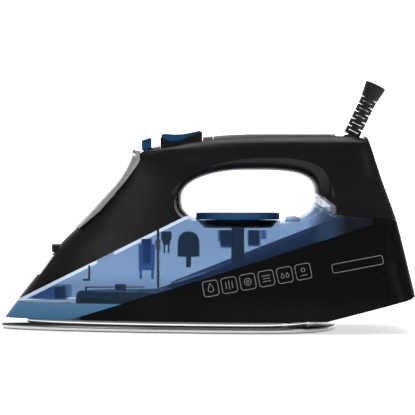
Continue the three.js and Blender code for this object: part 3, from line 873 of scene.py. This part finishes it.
def make_marks():
    """Six plain outlined symbols with no lettering, and an empty rounded frame, on the near side."""
    def shift(loop, by):
        return [(u + by[0], v + by[1]) for u, v in loop]

    def bar(u, v, w, h):
        outer = round_box(w, h, min(w, h) * 0.45, 2)
        return shift(outer, (u, v)), shift([(a * 0.2, b * 0.2) for a, b in outer], (u, v))
    symbols = [
        [shape_outline(2.2, 28, (0, -0.5), 0.4, 0.9)],
        [bar(-2.2, 0, 0.45, 5), bar(0, 0, 0.45, 6.2), bar(2.2, 0, 0.45, 5)],
        [shape_outline(2.6, 28, (0, 0), 0.4), shape_outline(1.1, 20, (0, 0), 0.4)],
        [bar(0, 2, 6, 0.45), bar(0, 0, 4.6, 0.45), bar(0, -2, 6, 0.45)],
        [shape_outline(1.3, 22, (-1.7, -0.8), 0.35, 0.9), shape_outline(1.3, 22, (1.7, -0.8), 0.35, 0.9)],
        [shape_outline(1.5, 22, (0, 1.1), 0.4), bar(0, -2.6, 5, 0.45)],
    ]
    parts = []
    for i, symbol in enumerate(symbols):
        at = (2.3 + 13.12 * i, 31.8 + 2.4 * i)
        parts.append(printed("mark", at, [frame_outline(11.2, 11.2, 2.2, 0.42)] + symbol))
    parts.append(printed("mark", (106.7, 48.9), [frame_outline(37.4, 6.6, 1.8, 0.42)]))
    return merged("side_marks", parts)


# ---- Materials ----
def node_material(name):
    material = bpy.data.materials.new(name)
    material.use_nodes = True
    tree = material.node_tree
    shader = tree.nodes["Principled BSDF"]
    return material, tree, shader


def noise_node(tree, scale, detail=3.0, stretch=None):
    """A noise texture in metres of the object's own space."""
    where = tree.nodes.new("ShaderNodeTexCoord")
    noise = tree.nodes.new("ShaderNodeTexNoise")
    noise.inputs["Scale"].default_value = scale
    noise.inputs["Detail"].default_value = detail
    if stretch:
        mapping = tree.nodes.new("ShaderNodeMapping")
        mapping.inputs["Scale"].default_value = stretch
        tree.links.new(where.outputs["Object"], mapping.inputs["Vector"])
        tree.links.new(mapping.outputs["Vector"], noise.inputs["Vector"])
    else:
        tree.links.new(where.outputs["Object"], noise.inputs["Vector"])
    return noise


def ranged(tree, source, low, high, from_low=0.3, from_high=0.7):
    node = tree.nodes.new("ShaderNodeMapRange")
    node.inputs["From Min"].default_value = from_low
    node.inputs["From Max"].default_value = from_high
    node.inputs["To Min"].default_value = low
    node.inputs["To Max"].default_value = high
    tree.links.new(source, node.inputs["Value"])
    return node.outputs["Result"]


def mixed_colour(tree, factor, a, b):
    node = tree.nodes.new("ShaderNodeMix")
    node.data_type = "RGBA"
    node.inputs["A"].default_value = (*a, 1)
    node.inputs["B"].default_value = (*b, 1)
    tree.links.new(factor, node.inputs["Factor"])
    return node.outputs["Result"]


def bumped(tree, shader, height, strength, distance):
    node = tree.nodes.new("ShaderNodeBump")
    node.inputs["Strength"].default_value = strength
    node.inputs["Distance"].default_value = distance
    tree.links.new(height, node.inputs["Height"])
    tree.links.new(node.outputs["Normal"], shader.inputs["Normal"])


def moulded(name, colour, lighter, roughness, grain, grain_strength, wear):
    """Moulded plastic: a faint cloudiness in colour and gloss, and a fine grain."""
    material, tree, shader = node_material(name)
    cloud = noise_node(tree, 38, 4)
    tree.links.new(mixed_colour(tree, ranged(tree, cloud.outputs["Fac"], 0, 1), colour, lighter),
                   shader.inputs["Base Color"])
    gloss = ranged(tree, cloud.outputs["Fac"], roughness - wear, roughness + wear)
    tree.links.new(gloss, shader.inputs["Roughness"])
    bumped(tree, shader, noise_node(tree, grain, 2).outputs["Fac"], grain_strength, 0.00006)
    return material


def metal(name, colour, darker, roughness, stretch, scale, strength):
    """Bare metal: faint streaks or clouds in colour, gloss and height."""
    material, tree, shader = node_material(name)
    shader.inputs["Metallic"].default_value = 1.0
    noise = noise_node(tree, scale, 5, stretch)
    tree.links.new(mixed_colour(tree, ranged(tree, noise.outputs["Fac"], 0, 1), colour, darker),
                   shader.inputs["Base Color"])
    gloss = ranged(tree, noise.outputs["Fac"], roughness * 0.75, roughness * 1.35)
    tree.links.new(gloss, shader.inputs["Roughness"])
    bumped(tree, shader, noise.outputs["Fac"], strength, 0.00004)
    return material


def position_in(tree):
    """The object's own X, Y and Z as a node's outputs."""
    where = tree.nodes.new("ShaderNodeTexCoord")
    split = tree.nodes.new("ShaderNodeSeparateXYZ")
    tree.links.new(where.outputs["Object"], split.inputs["Vector"])
    return split


def mixed_node(tree, factor, a, b):
    node = tree.nodes.new("ShaderNodeMix")
    node.data_type = "RGBA"
    tree.links.new(factor, node.inputs["Factor"])
    tree.links.new(a, node.inputs["A"])
    tree.links.new(b, node.inputs["B"])
    return node.outputs["Result"]


def plate_material(name):
    """The ironing plate: polished on its rolled edge, with painted shade that turns its face and its top
    dark.
    """
    material, tree, shader = node_material(name)
    shader.inputs["Metallic"].default_value = 1.0
    noise = noise_node(tree, 40, 5, (1, 26, 26))
    height = position_in(tree).outputs["Z"]
    # Painted shade: by height, the plate's face and the top of its edge take a dark steel colour.
    painted_shade = tree.nodes.new("ShaderNodeMath")
    painted_shade.operation = "MAXIMUM"
    tree.links.new(ranged(tree, height, 1, 0, 0.0006, 0.0011), painted_shade.inputs[0])
    tree.links.new(ranged(tree, height, 0, 1, 0.0032, 0.0038), painted_shade.inputs[1])
    grain = ranged(tree, noise.outputs["Fac"], 0, 1)
    bright = mixed_colour(tree, grain, (0.60, 0.60, 0.59), (0.52, 0.52, 0.51))
    shaded = mixed_colour(tree, grain, (0.11, 0.11, 0.11), (0.08, 0.08, 0.08))
    tree.links.new(mixed_node(tree, painted_shade.outputs["Value"], bright, shaded), shader.inputs["Base Color"])
    tree.links.new(ranged(tree, noise.outputs["Fac"], 0.13, 0.22), shader.inputs["Roughness"])
    bumped(tree, shader, noise.outputs["Fac"], 0.06, 0.00004)
    return material


def see_through(tree, shader, tint, share):
    """Mix the plastic's surface with a clear, tinted one; share is how much of it is solid."""
    clear = tree.nodes.new("ShaderNodeBsdfTransparent")
    clear.inputs["Color"].default_value = (*tint, 1)
    mix = tree.nodes.new("ShaderNodeMixShader")
    tree.links.new(share, mix.inputs["Fac"])
    tree.links.new(clear.outputs["BSDF"], mix.inputs[1])
    tree.links.new(shader.outputs["BSDF"], mix.inputs[2])
    tree.links.new(mix.outputs["Shader"], tree.nodes["Material Output"].inputs["Surface"])


def tank_material(name, tint, share):
    """Tinted see-through plastic, nearly solid below the tank's floor, with painted shade darker towards
    the skirt's bottom, and fading to a painted black at the rear that stands for the shaded inside of the
    body.
    """
    material, tree, shader = node_material(name)
    split = position_in(tree)
    skirt = ranged(tree, split.outputs["Z"], 1, 0, 0.0196, 0.0204)
    # Painted shade: towards the rear the tank turns to a nearly solid black, standing for the shaded inside
    # of the body seen through it.
    rear = ranged(tree, split.outputs["X"], 0, 1, 0.078, 0.102)
    cloud = noise_node(tree, 30, 3)
    blend = ranged(tree, cloud.outputs["Fac"], 0, 1)
    # Painted shade: the skirt's colour darkens towards its bottom.
    rise = ranged(tree, split.outputs["Z"], 0, 1, 0.008, 0.02)
    clear = mixed_colour(tree, blend, (0.10, 0.20, 0.36), (0.13, 0.25, 0.43))
    deep_shaded = mixed_colour(tree, rise, (0.07, 0.18, 0.33), (0.11, 0.27, 0.46))
    black = mixed_colour(tree, blend, (0.004, 0.006, 0.014), (0.006, 0.008, 0.017))
    colour = mixed_node(tree, rear, mixed_node(tree, skirt, clear, deep_shaded), black)
    tree.links.new(colour, shader.inputs["Base Color"])
    solid = tree.nodes.new("ShaderNodeMath")
    solid.operation = "MAXIMUM"
    tree.links.new(skirt, solid.inputs[0])
    tree.links.new(rear, solid.inputs[1])
    see_through(tree, shader, tint, ranged(tree, solid.outputs["Value"], share, 0.93, 0, 1))
    gloss = tree.nodes.new("ShaderNodeMath")
    gloss.operation = "ADD"
    tree.links.new(ranged(tree, cloud.outputs["Fac"], 0.05, 0.10), gloss.inputs[0])
    tree.links.new(ranged(tree, rear, 0, 0.5, 0, 1), gloss.inputs[1])
    tree.links.new(gloss.outputs["Value"], shader.inputs["Roughness"])
    shader.inputs["Specular IOR Level"].default_value = 0.2
    bumped(tree, shader, noise_node(tree, 120, 1).outputs["Fac"], 0.05, 0.0002)
    return material


def clear_material(name, tint, colour, lighter, share):
    """Clear coloured plastic for the small parts inside the tank."""
    material, tree, shader = node_material(name)
    cloud = noise_node(tree, 60, 3)
    blend = ranged(tree, cloud.outputs["Fac"], 0, 1)
    tree.links.new(mixed_colour(tree, blend, colour, lighter), shader.inputs["Base Color"])
    tree.links.new(ranged(tree, cloud.outputs["Fac"], 0.10, 0.16), shader.inputs["Roughness"])
    see_through(tree, shader, tint, ranged(tree, cloud.outputs["Fac"], share, share + 0.05))
    bumped(tree, shader, noise_node(tree, 160, 1).outputs["Fac"], 0.04, 0.0001)
    return material


BLACK = moulded("black_gloss", (0.0062, 0.0062, 0.0066), (0.0085, 0.0085, 0.009), 0.30, 1400, 0.10, 0.05)
BAND = moulded("band_gloss", (0.0042, 0.0042, 0.0045), (0.0056, 0.0056, 0.006), 0.22, 1400, 0.08, 0.04)
MATT = moulded("black_grain", (0.010, 0.010, 0.011), (0.015, 0.015, 0.016), 0.5, 2600, 0.5, 0.06)
BLUE = moulded("key_blue", (0.007, 0.062, 0.165), (0.009, 0.074, 0.19), 0.38, 1800, 0.2, 0.04)
DIALBLUE = moulded("dial_blue", (0.008, 0.066, 0.185), (0.011, 0.078, 0.21), 0.34, 1800, 0.18, 0.04)
RUBBER = moulded("rubber", (0.008, 0.008, 0.0085), (0.013, 0.013, 0.013), 0.6, 3200, 0.6, 0.07)
INSIDE = moulded("inside_grey", (0.030, 0.034, 0.045), (0.042, 0.046, 0.058), 0.5, 1500, 0.3, 0.05)
PRINT = moulded("printed_mark", (0.30, 0.31, 0.32), (0.36, 0.37, 0.38), 0.4, 2600, 0.1, 0.05)
SHEEN = ((BLACK, 0.26), (BAND, 0.14), (BLUE, 0.1), (DIALBLUE, 0.2), (RUBBER, 0.3), (MATT, 0.3))
for surface, level in SHEEN:
    surface.node_tree.nodes["Principled BSDF"].inputs["Specular IOR Level"].default_value = level
SMOKE = clear_material("clear_window", (0.78, 0.82, 0.86), (0.22, 0.26, 0.31), (0.30, 0.34, 0.40), 0.30)
TANK = tank_material("tank_tint", (0.63, 0.705, 0.795), 0.12)
TUBE = clear_material("tube_tint", (0.42, 0.60, 0.86), (0.02, 0.07, 0.24), (0.03, 0.09, 0.29), 0.30)
STRIP = clear_material("rail_tint", (0.42, 0.54, 0.80), (0.012, 0.030, 0.090), (0.020, 0.045, 0.130), 0.55)
CLEARBLUE = clear_material("tab_tint", (0.62, 0.74, 0.88), (0.06, 0.16, 0.34), (0.08, 0.20, 0.40), 0.30)
SOCKET = clear_material("socket_tint", (0.74, 0.82, 0.97), (0.05, 0.11, 0.36), (0.07, 0.14, 0.42), 0.12)
NOSE = clear_material("nose_tint", (0.50, 0.62, 0.88), (0.02, 0.07, 0.24), (0.03, 0.09, 0.29), 0.35)
BRIGHT = metal("bright_strip", (0.92, 0.93, 0.94), (0.84, 0.85, 0.86), 0.3, None, 120, 0.2)
CHROME = metal("chrome", (0.86, 0.87, 0.88), (0.80, 0.81, 0.82), 0.07, None, 50, 0.06)
STEEL = metal("brushed_steel", (0.43, 0.43, 0.42), (0.36, 0.36, 0.35), 0.24, (1, 26, 26), 40, 0.15)
PLATE = plate_material("plate_steel")
ALLOY = metal("cast_alloy", (0.50, 0.50, 0.51), (0.40, 0.40, 0.41), 0.42, None, 700, 0.4)
BRASS = metal("brass", (0.60, 0.42, 0.16), (0.50, 0.35, 0.13), 0.3, None, 300, 0.2)


def painted(obj, material):
    obj.data.materials.clear()
    obj.data.materials.append(material)
    for face in obj.data.polygons:
        face.material_index = 0
    return obj


def piece(obj, body, material, slot, *nodes):
    painted(obj, material)
    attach(obj, body)
    if nodes:
        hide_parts(*nodes)
    return obj


# ---- The pieces ----
piece(make_sole(), "body", PLATE, "steel", "soleplate")
piece(make_skirt(), "body", CHROME, "chrome", "sole_skirt")
piece(make_tank(), "body", TANK, "tank_tint", "water_tank")
piece(make_band(), "body", BAND, "gloss_black", "lower_body")
piece(make_heel(), "body", BAND, "gloss_black", "rear_cover")
piece(make_housing(), "body", BLACK, "gloss_black", "handle_housing")
piece(make_lens(), "body", SMOKE, "clear_smoke", "pilot_lens")
piece(make_door(), "door", BRIGHT, "chrome", "filler_door")
piece(make_door_trim(), "door", CHROME, "chrome")
piece(make_lever(), "lever", BLUE, "key_blue", "steam_lever")
for side, name in ((-1, "spray"), (1, "burst")):
    piece(make_key(name + "_key_base", side), name + "_key", BLACK, "gloss_black", name + "_button")
    piece(make_key_cap(name + "_key_top", side), name + "_key", BLUE, "key_blue", name + "_button_cap")
piece(make_dial(), "dial", DIALBLUE, "key_blue", "temperature_dial")
piece(make_dial_marks(), "dial", PRINT, "clear_smoke")
piece(make_sleeve(), "cord_sleeve", RUBBER, "rubber", "cord_guard")
piece(make_marks(), "body", PRINT, "clear_smoke")
piece(make_dial_sockets(), "body", SOCKET, "tank_tint")
piece(make_nose_fill(), "body", NOSE, "tank_tint")
piece(make_tank_fittings(), "body", INSIDE, "tank_tint")
piece(make_inner_strip(), "body", STRIP, "tank_tint")
piece(make_pointer(), "body", CLEARBLUE, "tank_tint")

# CAD solids whose shape is right keep it, with a better finish.
KEPT = (
    (ALLOY, "heating_base", "steam_chamber_cover"),
    (STEEL, "heating_element", "spray_spring", "burst_spring"),
    (BRASS, "thermostat", "steam_needle"),
    (INSIDE, "heat_shield", "dial_shaft", "front_boss"),
    (BLACK, "handle_cover", "spray_nozzle", "dial_bezel", "steam_pump_dome"),
    (TUBE, "filler_duct", "scale_cartridge", "cartridge_foot"),
    (CHROME, "nozzle_trim"),
    (MATT, "spray_pump", "burst_pump", "cord_barrel", "terminal_block"),
    (RUBBER, "valve_seat", "spray_tube", "live_wire", "neutral_wire"),
)
for material, *nodes in KEPT:
    for node in nodes:
        painted(frame["nodes"][node], material)

# The shapes that the pieces were only cut from or by aren't part of the iron.
for name in ("cutter", "form", "gap"):
    for obj in [o for o in bpy.data.objects if o.name.split(".")[0] == name]:
        bpy.data.objects.remove(obj)


# ---- Floor, light and camera ----
def make_stage():
    """A pale floor, in metres, that curves up into a wall behind."""
    sweep = [(-2.2, 0), (1.6, 0), (1.9, 0.02), (2.15, 0.1), (2.3, 0.25), (2.36, 0.5), (2.36, 3.2)]
    half_width, clearance = 4.0, 0.0004
    points = [(x, y, z - clearance) for x in (-half_width, half_width) for y, z in sweep]
    n = len(sweep)
    faces = [(i, i + n, i + n + 1, i + 1) for i in range(n - 1)]
    mesh = bpy.data.meshes.new("studio_floor")
    mesh.from_pydata(points, [], faces)
    for face in mesh.polygons:
        face.use_smooth = True
    obj = bpy.data.objects.new("studio_floor", mesh)
    bpy.context.scene.collection.objects.link(obj)
    material, tree, shader = node_material("studio_white")
    cloud = noise_node(tree, 2.0, 2)
    tree.links.new(mixed_colour(tree, cloud.outputs["Fac"], (0.93, 0.93, 0.93), (0.95, 0.95, 0.95)),
                   shader.inputs["Base Color"])
    shader.inputs["Roughness"].default_value = 0.9
    shader.inputs["Specular IOR Level"].default_value = 0.1
    shader.inputs["Emission Color"].default_value = (1, 1, 1, 1)
    shader.inputs["Emission Strength"].default_value = 0.62
    mesh.materials.append(material)


def area_light(name, where, at, size, power):
    light = bpy.data.lights.new(name, "AREA")
    light.shape = "RECTANGLE"
    light.size, light.size_y = size
    light.energy = power
    obj = bpy.data.objects.new(name, light)
    obj.location = where
    obj.rotation_euler = (Vector(at) - Vector(where)).to_track_quat("-Z", "Y").to_euler()
    bpy.context.scene.collection.objects.link(obj)


make_stage()
centre = (0, 0, 0.08)
area_light("key", (-0.85, -0.8, 0.9), centre, (0.5, 0.5), 1.1)
area_light("fill", (0.95, -0.8, 0.45), centre, (0.35, 0.8), 0.6)
area_light("top", (0, 0.15, 1.3), centre, (1.4, 0.7), 10)
area_light("back_wall", (0, 0.9, 1.0), (0, 2.3, 0.6), (2.6, 1.2), 24)
world = bpy.data.worlds.new("studio")
world.use_nodes = True
world.node_tree.nodes["Background"].inputs["Color"].default_value = (1, 1, 1, 1)
world.node_tree.nodes["Background"].inputs["Strength"].default_value = 0.2
bpy.context.scene.world = world
bpy.context.scene.view_settings.view_transform = "Standard"

# In metres, and the sensor in millimetres.
CAMERA_DISTANCE, CAMERA_HEIGHT, VIEW_WIDTH = 1.16, 0.0892, 0.3071
SENSOR = 36
camera = bpy.data.cameras.new("camera")
camera.sensor_width = SENSOR
camera.lens = SENSOR * CAMERA_DISTANCE / VIEW_WIDTH
camera_object = bpy.data.objects.new("camera", camera)
camera_object.location = (SHIFT * MM, -CAMERA_DISTANCE, CAMERA_HEIGHT)
camera_object.rotation_euler = (math.pi / 2, 0, 0)
bpy.context.scene.collection.objects.link(camera_object)
bpy.context.scene.camera = camera_object
